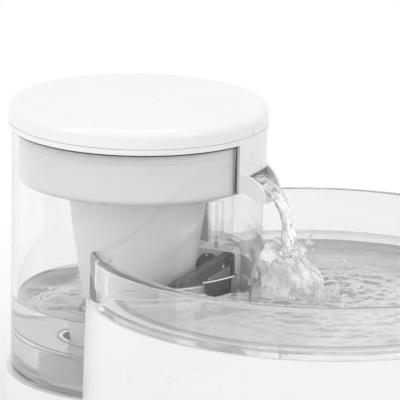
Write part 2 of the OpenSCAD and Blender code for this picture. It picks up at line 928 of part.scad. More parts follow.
// White tapered riser from the pump to the collar's basin, castellated at its foot
module riser_cone() {
    taper = (cone_top_r - cone_foot_r) / (cone_neck_z - cone_z);
    color([0.88, 0.88, 0.87]) at_tank() difference() {
        union() {
            translate([0, 0, cone_z]) {
                cylinder(r1 = cone_foot_r, r2 = cone_top_r, h = cone_neck_z - cone_z);
            }
            translate([0, 0, cone_neck_z - eps]) cylinder(r = cone_top_r, h = cone_top_z - cone_neck_z);
            translate([0, 0, cone_flange_z]) cylinder(r = cone_top_r + cone_flange_w, h = cone_flange_t);
        }
        difference() {
            union() {
                translate([0, 0, cone_z - 1]) cylinder(r1 = cone_foot_r - cone_wall - taper,
                    r2 = cone_top_r - cone_wall, h = cone_neck_z - cone_z + 1);
                translate([0, 0, cone_neck_z - eps]) cylinder(r = cone_top_r - cone_wall, h = big);
            }
            translate([0, 0, guide_z - guide_ledge]) ring(cone_top_r, cone_foot_r - cone_wall, guide_ledge);
        }
        for (i = [0:inlet_n - 1]) rotate(i * 360 / inlet_n) {
            translate([0, -inlet_w / 2, cone_z - 1]) cube([big, inlet_w, inlet_h + 1]);
        }
    }
}

module riser_seal() {
    color([0.2, 0.2, 0.22]) at_tank(collar_z + collar_wall) {
        ring(cone_top_r + cone_flange_w - 1, cone_top_r + cone_fit + 0.2, riser_seal_t);
    }
}

// Four vanes in a ring that straighten the flow, on a ledge inside the riser
module flow_guide() {
    taper = (cone_top_r - cone_foot_r) / (cone_neck_z - cone_z);
    ring_r = cone_foot_r - cone_wall + taper * (guide_z - cone_z) - guide_gap;
    color([0.8, 0.82, 0.84]) at_tank(guide_z) {
        ring(ring_r, ring_r - guide_wall, guide_h);
        difference() {
            union() {
                cylinder(r = guide_hub_r, h = guide_h);
                for (i = [0:3]) rotate(i * 90) {
                    translate([0, -vane_t / 2, 0]) cube([ring_r - 1, vane_t, guide_h]);
                }
            }
            translate([0, 0, -1]) cylinder(r = pin_r + 2.6, h = guide_h - 1);
        }
    }
}

// White cap with a rounded edge and a shallow crown
module lid_cap() {
    cap_r = collar_r - 0.2;
    color(white) at_tank(cap_z + seat_gap) {
        difference() {
            union() {
                rotate_extrude() difference() {
                    square([cap_r, cap_h]);
                    sharp(cap_r, cap_h, cap_edge, -1, -1);
                    difference() {
                        translate([-1, -1]) square([cap_in + 1, cap_h - cap_wall + 1]);
                        sharp(cap_in, cap_h - cap_wall, cap_edge - 1, -1, -1);
                    }
                }
                for (i = [0:lug_n - 1]) rotate(i * 360 / lug_n) translate([0, 0, 0.2]) intersection() {
                    ring(cap_in + 1, cap_lug_r, cap_lug_h);
                    wedge(-lug_a + 2, lug_a - 2, cap_lug_h);
                }
                translate([0, 0, cap_h - cap_wall - 1.6]) ring(cap_in - 5, cap_in - 7, 2);
            }
        }
        rotate(mark_a) translate([-0.45, -cap_r - mark_t, 0.8]) cube([0.9, 1, 4.4]);
    }
}

module lid_seal() {
    color([0.8, 0.8, 0.8]) at_tank(cap_z + spigot_h) ring(spigot_r - 0.3, spigot_r - spigot_wall + 0.3, 0.8);
}

// Clear drinking bowl: thick rim wall, ledge, basin, low wall along the tank and two overflow chutes
module bowl() {
    color(clear) difference() {
        union() {
            difference() {
                union() {
                    at_bowl() rotate_extrude() difference() {
                        translate([0, bowl_z]) square([bowl_r, rim_z - bowl_z]);
                        sharp(bowl_r, rim_z, rim_round, -1, -1);
                        translate([-1, ledge_z]) square([bowl_r - bowl_wall + 1, big]);
                        sharp(bowl_r - bowl_wall, rim_z, rim_round, 1, -1);
                    }
                    intersection() {
                        at_tank() ring(pocket_r + low_wall_t, pocket_r - 1, ledge_z + low_wall_h);
                        at_bowl(bowl_z) cylinder(r = bowl_r - 1, h = big);
                    }
                    intersection() {
                        at_tank() ring(pocket_r + end_t, pocket_r - 1, rim_z - rim_round - 1);
                        at_bowl(bowl_z) ring(bowl_r - 1, bowl_r - bowl_wall - 3, big);
                    }
                    basin_form(basin_wall);
                }
                difference() {
                    basin_form(0);
                    at_tank() ring(pocket_r + screen_wall + pocket_gap + basin_wall, 1, big);
                }
                at_tank() cylinder(r = pocket_r, h = big);
            }
        }
        weir_gap(weir_z, pocket_r - 2, pocket_r + screen_wall + pocket_gap + basin_wall + 0.5);
        at_tank() block([-big, big], [-big, tip_u], [-1, big]);
    }
    color(clear) for (side = [-1, 1]) at_tank(weir_z - chute_t) intersection() {
        ring(pocket_r + screen_wall + pocket_gap + basin_wall, pocket_r, chute_t);
        wedge(side * (window_a0 - 0.6), side * (window_a1 + 0.6), chute_t);
    }
}

// The basin's space, open above, grown by a margin at its sides and floor
module basin_form(grow) {
    top = grow > 0 ? bowl_z + 1 : big;
    floor_z = lip_h - basin_depth - grow;
    difference() {
        at_bowl() rotate_extrude() difference() {
            translate([0, floor_z]) square([basin_r + grow, top - floor_z]);
            sharp(basin_r + grow, floor_z, 8 + grow, -1, 1);
        }
        at_tank() cylinder(r = pocket_r + screen_wall + pocket_gap + basin_wall - grow, h = big);
    }
}

// Clear slide that takes the falling stream down to the water, open at its back
module splash_ramp() {
    reach = pocket_r + screen_wall + pocket_gap + basin_wall;
    color(clear) at_tank() difference() {
        ramp_form(0);
        ramp_form(ramp_wall);
        cylinder(r = reach + seat_gap, h = ledge_z + 0.1);
        cylinder(r = pocket_r + low_wall_t + seat_gap, h = ledge_z + low_wall_h + 0.1);
        cylinder(r = pocket_r + seat_gap, h = big);
    }
}

// The slide's outer form, or its inside, a wall smaller: a leaning hood drawn in to a round toe
module ramp_form(inset) {
    back = inset > 0 ? ramp_wall + 2 : 0;
    floor_z = lip_h - basin_depth - (inset > 0 ? 1 : 0);
    half = ramp_w / 2 - inset;
    toe_y = ramp_toe_r - tank_r - ramp_reach;
    crest_z = lip_h + ramp_h - ramp_round;
    hull() {
        translate([0, back - pocket_r - ramp_root, floor_z]) scale([1, 0.1, 1]) {
            cylinder(r = half, h = lip_h + 2 - floor_z, $fn = 32);
        }
        for (side = [-1, 1]) {
            translate([side * (ramp_w / 2 - ramp_round), back - pocket_r - ramp_lean, crest_z]) {
                rotate([90, 0, 0]) cylinder(r = ramp_round - inset, h = 1, center = true, $fn = 32);
            }
        }
        translate([0, toe_y, lip_h + ramp_toe_h - ramp_toe_r]) sphere(r = ramp_toe_r - inset, $fn = 32);
        translate([0, toe_y, floor_z]) cylinder(r = ramp_toe_r - inset, h = 2, $fn = 32);
    }
}

// White tray on the tank's lugs: drained floor, rim, arched end block and small near post
module filter_tray() {
    color([0.92, 0.92, 0.91]) at_tank() difference() {
        union() {
            intersection() {
                translate([0, 0, tray_z]) cylinder(r = tray_r, h = big);
                union() {
                    block([-tray_r, block_x1], [tray_inner_u, tray_r], [tray_z, tray_z + tray_t]);
                    difference() {
                        block([-tray_r, block_x1], [tray_inner_u, tray_r], [tray_z, tray_z + tray_rim_h]);
                        cylinder(r = tray_r - tray_rim_t, h = big);
                    }
                    block([cart_x0 - post_gap - post_w, cart_x0 - post_gap], [cart_u - cart_t, cart_u + 8],
                        [tray_z, cart_top - cart_rim]);
                    end_block();
                }
            }
        }
        fin_slot(tray_z - 1);
        translate([0, 0, tray_z - 1]) cylinder(r = cone_at(tray_z) + cone_clear, h = tray_t + 2);
        translate([0, 0, tray_z]) cylinder(r = cone_at(tray_z + block_h) + cone_clear, h = big);
        for (i = [0:slot_n - 1]) {
            slot_x = cart_x0 + 2 * slot_w + i * slot_pitch;
            block([slot_x, slot_x + slot_w], [tray_inner_u + slot_w, cart_u - cart_t / 2 - slot_w],
                [tray_z - 1, tray_z + tray_t + 1]);
        }
    }
}

function cone_at(z) = cone_foot_r + (cone_top_r - cone_foot_r) * (z - cone_z) / (cone_neck_z - cone_z);

// End block: two rounded lobes each side of the guide fin's slot, over an arch
module end_block() {
    translate([block_x0, 0, 0]) rotate([90, 0, 90]) mirror([1, 0, 0]) linear_extrude(block_t) difference() {
        translate([block_u0, tray_z]) square([block_u1 - block_u0, block_h]);
        sharp(block_u0, tray_z + block_h, 4, 1, -1);
        sharp(block_u1, tray_z + block_h, 4, -1, -1);
        arch(arch_r);
    }
}

// Section of the arch, from the tray's floor up
module arch(r) {
    translate([arch_u, arch_z]) circle(r = r);
    translate([arch_u - r, tray_z + tray_t]) square([2 * r, arch_z - tray_z - tray_t]);
}

// Slot round the tank's guide fin, open above, grown by a margin
module fin_slot(z, grow = 0) {
    half = fin_t / 2 + fin_gap + grow;
    block([fin_in - fin_gap - grow, tank_r], [fin_u - half, fin_u + half], [z, big]);
}

// Black foam under the arch
module filter_foam() {
    color([0.07, 0.07, 0.08]) at_tank() difference() {
        translate([block_x0 + foam_set, 0, 0]) rotate([90, 0, 90]) mirror([1, 0, 0]) {
            linear_extrude(block_t - 2 * foam_set) arch(arch_r - foam_gap);
        }
        fin_slot(tray_z, seat_gap);
        translate([0, 0, tray_z]) cylinder(r = cone_at(tray_z + block_h) + cone_clear, h = big);
    }
}

// Dark cartridge frame with a ribbed top, standing on edge across the return flow
module cartridge_frame() {
    u0 = cart_u - cart_t / 2;
    u1 = cart_u + cart_t / 2;
    color([0.25, 0.28, 0.34]) at_tank() difference() {
        union() {
            block([cart_x0, cart_x1], [u0, u1], [cart_z, cart_top - rib_h]);
            for (i = [0:rib_n - 1]) {
                rib_x = cart_x0 + rib_w / 2 + i * rib_pitch;
                block([rib_x, rib_x + rib_w], [u0, u1], [cart_top - rib_h - eps, cart_top]);
            }
        }
        cart_window(cart_t + 2);
    }
}

// The opening through the cartridge's frame, or the pad in it, by thickness
module cart_window(t) {
    block([cart_x0 + cart_rim, cart_x1 - cart_rim], [cart_u - t / 2, cart_u + t / 2],
        [cart_z + cart_rim, cart_top - 2 * cart_rim]);
}

module carbon_pad() {
    color([0.45, 0.47, 0.49]) at_tank() cart_window(pad_t);
}

base_skirt();
base_top();
bowl_well();
base_plate();
base_feet();
base_screws();
tank_turret();
motor_can();
motor_windings();
shaft_bearings();
control_board();
power_inlet();
drive_shaft();
drive_disc();
drive_magnets();
tank_shell();
tank_gasket();
return_seals();
impeller_pin();
pin_cap();
impeller();
impeller_magnet();
collar();
riser_cone();
riser_seal();
flow_guide();
lid_cap();
lid_seal();
bowl();
splash_ramp();
filter_tray();
filter_foam();
cartridge_frame();
carbon_pad();
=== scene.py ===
"""Pet water fountain: finishes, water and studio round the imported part. Metres, +Z up, bowl towards -Y."""

import json
import math
import random

import bmesh
import bpy
from mathutils import Matrix, Vector


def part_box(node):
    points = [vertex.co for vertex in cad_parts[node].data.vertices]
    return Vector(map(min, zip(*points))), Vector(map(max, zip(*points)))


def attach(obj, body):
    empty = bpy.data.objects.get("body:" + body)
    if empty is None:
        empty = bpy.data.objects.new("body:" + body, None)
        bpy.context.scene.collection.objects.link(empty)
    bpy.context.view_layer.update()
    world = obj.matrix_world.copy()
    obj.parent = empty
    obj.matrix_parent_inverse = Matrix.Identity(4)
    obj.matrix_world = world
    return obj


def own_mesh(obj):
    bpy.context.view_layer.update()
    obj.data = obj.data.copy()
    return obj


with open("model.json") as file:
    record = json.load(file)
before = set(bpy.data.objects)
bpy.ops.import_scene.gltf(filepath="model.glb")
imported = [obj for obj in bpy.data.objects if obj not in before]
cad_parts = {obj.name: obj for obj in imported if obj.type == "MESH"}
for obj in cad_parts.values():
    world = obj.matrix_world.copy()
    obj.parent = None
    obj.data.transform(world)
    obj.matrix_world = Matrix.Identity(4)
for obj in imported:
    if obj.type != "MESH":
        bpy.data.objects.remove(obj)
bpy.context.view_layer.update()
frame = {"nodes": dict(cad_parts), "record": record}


# --- Places taken from the frame -------------------------------------------------------------

def middle(node):
    low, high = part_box(node)
    return (low + high) / 2


TANK_AXIS = middle("lid_cap")
BOWL_LOW, BOWL_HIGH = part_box("bowl")
TANK_LOW, TANK_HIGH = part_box("tank_shell")
RIM_R = (BOWL_HIGH.x - BOWL_LOW.x) / 2
BOWL_AXIS = Vector((0, BOWL_LOW.y + RIM_R, 0))
TANK_R = (TANK_HIGH.x - TANK_LOW.x) / 2
LIP_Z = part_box("base_top")[1].z


# --- Camera ----------------------------------------------------------------------------------

CAMERA_PLACE = Vector((-1.7551, -0.7498, 0.6365))
CAMERA_AWAY = Vector((0.911, 0.4126, 0)).normalized()
CAMERA_ELEVATION = math.radians(14.66)
CAMERA_ROLL = math.radians(-1.01)
CAMERA_LENS_MM = 324.5
SENSOR_MM = 36


def add_camera():
    """The photograph's viewpoint: a long lens, looking down on the tank from the bowl's side."""
    right = Vector((CAMERA_AWAY.y, -CAMERA_AWAY.x, 0))
    forward = CAMERA_AWAY * math.cos(CAMERA_ELEVATION) - Vector((0, 0, math.sin(CAMERA_ELEVATION)))
    up = right.cross(forward)
    side = right * math.cos(CAMERA_ROLL) - up * math.sin(CAMERA_ROLL)
    top = right * math.sin(CAMERA_ROLL) + up * math.cos(CAMERA_ROLL)
    data = bpy.data.cameras.new("photo_camera")
    data.sensor_width = SENSOR_MM
    data.lens = CAMERA_LENS_MM
    camera = bpy.data.objects.new("photo_camera", data)
    bpy.context.scene.collection.objects.link(camera)
    camera.matrix_world = Matrix((
        (side.x, top.x, -forward.x, CAMERA_PLACE.x),
        (side.y, top.y, -forward.y, CAMERA_PLACE.y),
        (side.z, top.z, -forward.z, CAMERA_PLACE.z),
        (0, 0, 0, 1)))
    bpy.context.scene.camera = camera


add_camera()


# --- Shader helpers --------------------------------------------------------------------------

def fresh_material(name):
    """A material with one Principled shader: the material, its nodes, its links and the shader."""
    material = bpy.data.materials.new(name)
    material.use_nodes = True
    nodes = material.node_tree.nodes
    return material, nodes, material.node_tree.links, nodes["Principled BSDF"]


def place_on_object(nodes, links, scale=(1, 1, 1)):
    """Object coordinates in metres, stretched by a Mapping node."""
    coords = nodes.new("ShaderNodeTexCoord")
    mapping = nodes.new("ShaderNodeMapping")
    mapping.inputs["Scale"].default_value = scale
    links.new(coords.outputs["Object"], mapping.inputs["Vector"])
    return mapping.outputs["Vector"]


def noise_field(nodes, links, vector, size, detail=3.0, roughness=0.5):
    """Noise whose lumps are about size metres across."""
    noise = nodes.new("ShaderNodeTexNoise")
    noise.inputs["Scale"].default_value = 1 / size
    noise.inputs["Detail"].default_value = detail
    noise.inputs["Roughness"].default_value = roughness
    links.new(vector, noise.inputs["Vector"])
    return noise.outputs["Fac"]


def cell_field(nodes, links, vector, size):
    """Round cells about size metres across."""
    cells = nodes.new("ShaderNodeTexVoronoi")
    cells.inputs["Scale"].default_value = 1 / size
    links.new(vector, cells.inputs["Vector"])
    return cells.outputs["Distance"]


def spread(nodes, links, field, low, high, start=0.3, end=0.7):
    """Maps a field to numbers between low and high."""
    span = nodes.new("ShaderNodeMapRange")
    span.inputs["From Min"].default_value = start
    span.inputs["From Max"].default_value = end
    span.inputs["To Min"].default_value = low
    span.inputs["To Max"].default_value = high
    links.new(field, span.inputs["Value"])
    return span.outputs["Result"]


def two_tone(nodes, links, field, dark, light, start=0.3, end=0.7):
    """Maps a field to colours between dark and light."""
    ramp = nodes.new("ShaderNodeValToRGB")
    ramp.color_ramp.elements[0].position = start
    ramp.color_ramp.elements[0].color = (*dark, 1)
    ramp.color_ramp.elements[1].position = end
    ramp.color_ramp.elements[1].color = (*light, 1)
    links.new(field, ramp.inputs["Fac"])
    return ramp.outputs["Color"]


def raise_surface(nodes, links, shader, field, depth, strength=1.0, under=None):
    """Bump of depth metres on a shader, over another bump if one is given."""
    bump = nodes.new("ShaderNodeBump")
    bump.inputs["Distance"].default_value = depth
    bump.inputs["Strength"].default_value = strength
    links.new(field, bump.inputs["Height"])
    if under is not None:
        links.new(under, bump.inputs["Normal"])
    links.new(bump.outputs["Normal"], shader.inputs["Normal"])
    return bump.outputs["Normal"]


def either(nodes, links, first, second):
    """1 where one of two ray flags is 1."""
    larger = nodes.new("ShaderNodeMath")
    larger.operation = "MAXIMUM"
    links.new(first, larger.inputs[0])
    links.new(second, larger.inputs[1])
    return larger.outputs["Value"]


def mix_shaders(nodes, links, share, first, second):
    """The first shader, giving way to the second as share goes from 0 to 1."""
    mix = nodes.new("ShaderNodeMixShader")
    links.new(share, mix.inputs["Fac"])
    links.new(first, mix.inputs[1])
    links.new(second, mix.inputs[2])
    return mix.outputs["Shader"]


def open_to_lamps(nodes, links, shader, colour):
    """Shadow rays pass straight through in the given colour, so that lamps reach what is behind."""
    path = nodes.new("ShaderNodeLightPath")
    shadow = nodes.new("ShaderNodeBsdfTransparent")
    shadow.inputs["Color"].default_value = (*colour, 1)
    surface = mix_shaders(nodes, links, path.outputs["Is Shadow Ray"], shader.outputs["BSDF"],
                          shadow.outputs["BSDF"])
    links.new(surface, nodes["Material Output"].inputs["Surface"])


def absorb(nodes, links, tint, density):
    """Colours light by how far it goes inside the solid."""
    depth = nodes.new("ShaderNodeVolumeAbsorption")
    depth.inputs["Color"].default_value = (*tint, 1)
    depth.inputs["Density"].default_value = density
    links.new(depth.outputs["Volume"], nodes["Material Output"].inputs["Volume"])


# --- Finishes --------------------------------------------------------------------------------

def moulded_plastic(name, colour, roughness, grain=0.003, grain_depth=3e-6, gloss=0.0):
    """Opaque moulding: faint flow marks in the colour, uneven satin, a fine mould grain."""
    material, nodes, links, shader = fresh_material(name)
    vector = place_on_object(nodes, links)
    flow = noise_field(nodes, links, vector, 0.06, 2)
    dark = [c * 0.975 for c in colour]
    links.new(two_tone(nodes, links, flow, dark, colour), shader.inputs["Base Color"])
    patches = noise_field(nodes, links, vector, 0.015, 4)
    uneven = spread(nodes, links, patches, roughness * 0.9, roughness * 1.12)
    links.new(uneven, shader.inputs["Roughness"])
    fine = noise_field(nodes, links, vector, grain, 2)
    raise_surface(nodes, links, shader, fine, grain_depth, 0.6)
    shader.inputs["Coat Weight"].default_value = gloss
    shader.inputs["Coat Roughness"].default_value = 0.12
    return material


def clear_plastic(name, tint, density, haze, ior=1.5, roughness=0.012):
    """Clear moulding: it bends light, takes a little of it along the way, and lets lamps through."""
    material, nodes, links, shader = fresh_material(name)
    vector = place_on_object(nodes, links, (1, 1, 0.6))
    shader.inputs["Base Color"].default_value = (0.985, 0.983, 0.98, 1)
    shader.inputs["Transmission Weight"].default_value = 1 - haze
    shader.inputs["IOR"].default_value = ior
    waves = noise_field(nodes, links, vector, 0.022, 2, 0.35)
    links.new(spread(nodes, links, waves, roughness * 0.5, roughness * 1.5), shader.inputs["Roughness"])
    raise_surface(nodes, links, shader, waves, 1.2e-5, 0.5)
    open_to_lamps(nodes, links, shader, (0.975, 0.976, 0.977))
    absorb(nodes, links, tint, density)
    return material


def soft_rubber(name, colour, roughness):
    """Seals and feet: dull, with a fine pebbled skin."""
    material, nodes, links, shader = fresh_material(name)
    vector = place_on_object(nodes, links)
    dust = noise_field(nodes, links, vector, 0.004, 4)
    pale = [min(1, c * 1.25 + 0.01) for c in colour]
    links.new(two_tone(nodes, links, dust, colour, pale), shader.inputs["Base Color"])
    links.new(spread(nodes, links, dust, roughness * 0.9, roughness * 1.1), shader.inputs["Roughness"])
    raise_surface(nodes, links, shader, cell_field(nodes, links, vector, 0.0007), 3e-5, 0.5)
    return material


def turned_metal(name, colour, roughness):
    """Bare metal with fine machining lines and a few duller patches."""
    material, nodes, links, shader = fresh_material(name)
    shader.inputs["Metallic"].default_value = 1
    vector = place_on_object(nodes, links)
    patches = noise_field(nodes, links, vector, 0.006, 4)
    dull = [c * 0.82 for c in colour]
    links.new(two_tone(nodes, links, patches, dull, colour), shader.inputs["Base Color"])
    lines = noise_field(nodes, links, place_on_object(nodes, links, (1, 1, 14)), 0.0032, 3)
    links.new(spread(nodes, links, lines, roughness * 0.7, roughness * 1.3), shader.inputs["Roughness"])
    raise_surface(nodes, links, shader, lines, 1e-5, 0.5)
    return material


def wound_copper():
    """Enamelled wire: round turns side by side, 0.5 mm apart."""
    material, nodes, links, shader = fresh_material("winding_copper")
    shader.inputs["Metallic"].default_value = 1
    vector = place_on_object(nodes, links)
    turns = nodes.new("ShaderNodeTexWave")
    turns.bands_direction = "Z"
    turns.inputs["Scale"].default_value = 620
    turns.inputs["Distortion"].default_value = 0.6
    turns.inputs["Detail Scale"].default_value = 90
    links.new(vector, turns.inputs["Vector"])
    # Darker in the grooves between turns, where the bump sinks: painted shade.
    copper = two_tone(nodes, links, turns.outputs["Fac"], (0.32, 0.12, 0.05), (0.82, 0.42, 0.2), 0.1, 0.9)
    links.new(copper, shader.inputs["Base Color"])
    shader.inputs["Roughness"].default_value = 0.3
    raise_surface(nodes, links, shader, turns.outputs["Fac"], 2e-4, 0.8)
    return material


def solder_resist():
    """Circuit board: green lacquer over faint tracks."""
    material, nodes, links, shader = fresh_material("board_green")
    vector = place_on_object(nodes, links)
    tracks = nodes.new("ShaderNodeTexBrick")
    tracks.inputs["Scale"].default_value = 220
    tracks.inputs["Mortar Size"].default_value = 0.05
    tracks.inputs["Color1"].default_value = (0.03, 0.17, 0.08, 1)
    tracks.inputs["Color2"].default_value = (0.035, 0.2, 0.09, 1)
    tracks.inputs["Mortar"].default_value = (0.09, 0.36, 0.16, 1)
    links.new(vector, tracks.inputs["Vector"])
    links.new(tracks.outputs["Color"], shader.inputs["Base Color"])
    shader.inputs["Roughness"].default_value = 0.28
    raise_surface(nodes, links, shader, tracks.outputs["Fac"], 3e-5, 0.4)
    return material


def open_foam():
    """Filter foam: open cells about 1 mm across."""
    material, nodes, links, shader = fresh_material("foam_black")
    vector = place_on_object(nodes, links)
    cells = cell_field(nodes, links, vector, 0.0011)
    # Darker in the middle of each cell, where the bump sinks into the pore: painted shade.
    links.new(two_tone(nodes, links, cells, (0.006, 0.007, 0.01), (0.035, 0.04, 0.05), 0.1, 0.7),
              shader.inputs["Base Color"])
    shader.inputs["Roughness"].default_value = 0.85
    small = raise_surface(nodes, links, shader, cell_field(nodes, links, vector, 0.0004), 1e-4, 0.5)
    raise_surface(nodes, links, shader, cells, 6e-4, 0.9, small)
    return material


def carbon_fleece():
    """Grey non-woven cover with carbon grains showing through."""
    material, nodes, links, shader = fresh_material("carbon_grey")
    vector = place_on_object(nodes, links)
    fibres = noise_field(nodes, links, place_on_object(nodes, links, (1, 1, 6)), 0.0012, 6, 0.7)
    grains = cell_field(nodes, links, vector, 0.0022)
    colour = two_tone(nodes, links, fibres, (0.12, 0.125, 0.14), (0.3, 0.31, 0.33), 0.35, 0.65)
    links.new(colour, shader.inputs["Base Color"])
    shader.inputs["Roughness"].default_value = 0.9
    shader.inputs["Sheen Weight"].default_value = 0.3
    under = raise_surface(nodes, links, shader, fibres, 2e-4, 0.6)
    raise_surface(nodes, links, shader, grains, 5e-4, 0.5, under)
    return material


def still_water(name, tint=(0.9, 0.9, 0.88), density=1.0, haze=0.085, air_and_glints=0.0, fall=(1, 1, 1)):
    """Water: clear, open to lamps, with white streaks drawn out along its fall if asked: air in the water,
    and on the ramp also painted highlights.
    """
    material, nodes, links, shader = fresh_material(name)
    vector = place_on_object(nodes, links)
    shader.inputs["Base Color"].default_value = (0.985, 0.983, 0.975, 1)
    if air_and_glints:
        # Where the water turns white it is froth, and on the ramp also painted highlights on the rivulets.
        froth_and_glints = noise_field(nodes, links, place_on_object(nodes, links, fall), 0.004, 3, 0.55)
        links.new(spread(nodes, links, froth_and_glints, 1 - haze, 1 - air_and_glints, 0.46, 0.64),
                  shader.inputs["Transmission Weight"])
    else:
        shader.inputs["Transmission Weight"].default_value = 1 - haze
    shader.inputs["IOR"].default_value = 1.333
    shader.inputs["Roughness"].default_value = 0
    wrinkle = noise_field(nodes, links, vector, 0.004, 2, 0.4)
    raise_surface(nodes, links, shader, wrinkle, 6e-5, 0.35)
    open_to_lamps(nodes, links, shader, (0.99, 0.99, 0.99))
    absorb(nodes, links, tint, density)
    return material


FINISHES = {
    "white_shell": moulded_plastic("white_shell", (0.87, 0.872, 0.87), 0.3, gloss=0.15),
    "white_inner": moulded_plastic("white_inner", (0.87, 0.866, 0.86), 0.38),
    "base_plate": moulded_plastic("base_plate", (0.74, 0.74, 0.73), 0.5, 0.0012, 1e-5),
    "foot_rubber": soft_rubber("foot_rubber", (0.035, 0.035, 0.038), 0.75),
    "screw_steel": turned_metal("screw_steel", (0.62, 0.62, 0.64), 0.3),
    # The turret's mid grey, seen through the tank's clear floor, is a painted reflection: it stands in for
    # the silvery mirror of the air under that floor.
    "turret_grey": moulded_plastic("turret_grey", (0.5, 0.51, 0.53), 0.4),
    "can_steel": turned_metal("can_steel", (0.66, 0.67, 0.7), 0.25),
    "winding_copper": wound_copper(),
    "bearing_brass": turned_metal("bearing_brass", (0.78, 0.6, 0.28), 0.35),
    "board_green": solder_resist(),
    "inlet_black": moulded_plastic("inlet_black", (0.03, 0.03, 0.033), 0.42),
    "magnet_grey": turned_metal("magnet_grey", (0.16, 0.16, 0.18), 0.55),
    "clear_tank": clear_plastic("clear_tank", (0.6, 0.58, 0.57), 4, 0.02),
    "clear_bowl": clear_plastic("clear_bowl", (0.52, 0.38, 0.45), 8, 0.07),
    "seal_dark": soft_rubber("seal_dark", (0.02, 0.02, 0.026), 0.6),
    "seal_pale": clear_plastic("seal_pale", (0.7, 0.7, 0.72), 30, 0.12, 1.41, 0.1),
    "foam_black": open_foam(),
    "cartridge_dark": moulded_plastic("cartridge_dark", (0.035, 0.04, 0.058), 0.38),
    "carbon_grey": carbon_fleece(),
}


def dress_frame():
    """Every CAD node gets the finish of its slot in the record."""
    for part in frame["record"]["subparts"]:
        node = frame["nodes"][part["node"]]
        node.data.materials.clear()
        node.data.materials.append(FINISHES[part["material_slot"]])


dress_frame()


# --- Modelling helpers -----------------------------------------------------------------------

def select_only(*pieces):
    bpy.ops.object.select_all(action="DESELECT")
    for piece in pieces:
        piece.select_set(True)
    bpy.context.view_layer.objects.active = pieces[0]


def pick_faces(piece, wanted):
    """In edit mode, selects the faces whose middle and normal pass the test."""
    bpy.ops.mesh.select_mode(type="FACE")
    shape = bmesh.from_edit_mesh(piece.data)
    for face in shape.faces:
        face.select_set(wanted(face.calc_center_median(), face.normal))
    bmesh.update_edit_mesh(piece.data)


def push(value):
    bpy.ops.mesh.extrude_region_move(TRANSFORM_OT_translate={"value": value})


def weigh(piece, name, weight):
    """A vertex group whose weight at a vertex is a function of its place."""
    group = piece.vertex_groups.new(name=name)
    for vertex in piece.data.vertices:
        group.add([vertex.index], weight(vertex.co), "REPLACE")
    return name


def rough_up(piece, size, depth, group="", direction="Z", stretch=(1, 1, 1), centre=(0, 0, 0),
             turn=(0, 0, 0)):
    """Lumps about size metres across and depth metres high, stretched along the axes if asked."""
    lumps = bpy.data.textures.new("lumps", "CLOUDS")
    lumps.noise_scale = 1
    lumps.noise_depth = 1
    lumps.noise_basis = "IMPROVED_PERLIN"
    displace(piece, lumps, depth, group, direction, [size * s for s in stretch], centre, turn)


# The wood texture's rings are this far apart at its own size
RING_STEP = 0.314


def ring_up(piece, wavelength, depth, centre, group):
    """Round waves about a centre."""
    rings = bpy.data.textures.new("rings", "WOOD")
    rings.wood_type = "RINGS"
    rings.noise_basis_2 = "SIN"
    displace(piece, rings, depth, group, "Z", [wavelength / RING_STEP] * 3, centre, (0, 0, 0))


def displace(piece, texture, depth, group, direction, scale, centre, turn):
    """Moves the vertices by a texture that is placed, turned and scaled by an empty, then applies it."""
    place = bpy.data.objects.new("texture_place", None)
    bpy.context.scene.collection.objects.link(place)
    place.location = centre
    place.rotation_euler = turn
    place.scale = scale
    bpy.context.view_layer.update()
    select_only(piece)
    waves = piece.modifiers.new("waves", "DISPLACE")
    waves.texture = texture
    waves.texture_coords = "OBJECT"
    waves.texture_coords_object = place
    waves.direction = direction
    waves.strength = depth
    waves.vertex_group = group
    bpy.ops.object.modifier_apply(modifier=waves.name)
    bpy.data.objects.remove(place)


def carve(piece, operation, tool):
    """Boolean of the piece with a tool, which is used up."""
    select_only(piece)
    cut = piece.modifiers.new("cut", "BOOLEAN")
    cut.operation = operation
    cut.object = tool
    bpy.ops.object.modifier_apply(modifier=cut.name)
    bpy.data.objects.remove(tool)


def soften(piece, levels):
    """Rounds a piece by subdivision."""
    select_only(piece)
    smooth = piece.modifiers.new("smooth", "SUBSURF")
    smooth.levels = levels
    smooth.render_levels = levels
    bpy.ops.object.modifier_apply(modifier=smooth.name)


def finish_piece(piece, name, material, body, angle):
    """Name, finish, smooth shading and body of a new piece, with its place in its mesh."""
    piece.name = name
    piece.data.name = name
    piece.data.materials.clear()
    piece.data.materials.append(material)
    select_only(piece)
    bpy.ops.object.transform_apply(location=True, rotation=True, scale=True)
    bpy.ops.object.shade_smooth_by_angle(angle=math.radians(angle))
    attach(piece, body)


# --- Water -----------------------------------------------------------------------------------

WATER = still_water("water")
FALLING_WATER = still_water("falling_water", air_and_glints=0.4, fall=(1, 1, 0.35))
# The ramp's white streaks are painted highlights on its rivulets as well as air in the water.
RAMP_WATER = still_water("ramp_water", air_and_glints=0.85, fall=(1, 0.4, 0.3))
SPRAY = still_water("spray", air_and_glints=0.6)
# Water reaches this far into the clear walls, because a gap of air between them goes dark
SKIN = -0.0003
TANK_WALL = 0.0032
TANK_FLOOR = 0.003
TANK_INNER_R = TANK_R - TANK_WALL
TANK_FLOOR_Z = TANK_LOW.z + TANK_FLOOR
# The raised middle of the tank's floor and the sump in it
PLATEAU_R = 0.0577
PLATEAU_H = 0.0175
SUMP_R = 0.030
TANK_WATER_Z = 0.074
RIM_TO_BASIN = 0.0167
BASIN_DEPTH = 0.027
BASIN_R = RIM_R - RIM_TO_BASIN
BASIN_FLOOR_Z = LIP_Z - BASIN_DEPTH
BASIN_CURVE = 0.008
# From the tank's axis to the bowl's low wall along the tank
BASIN_REACH = 0.0767
BOWL_WATER_Z = 0.0884


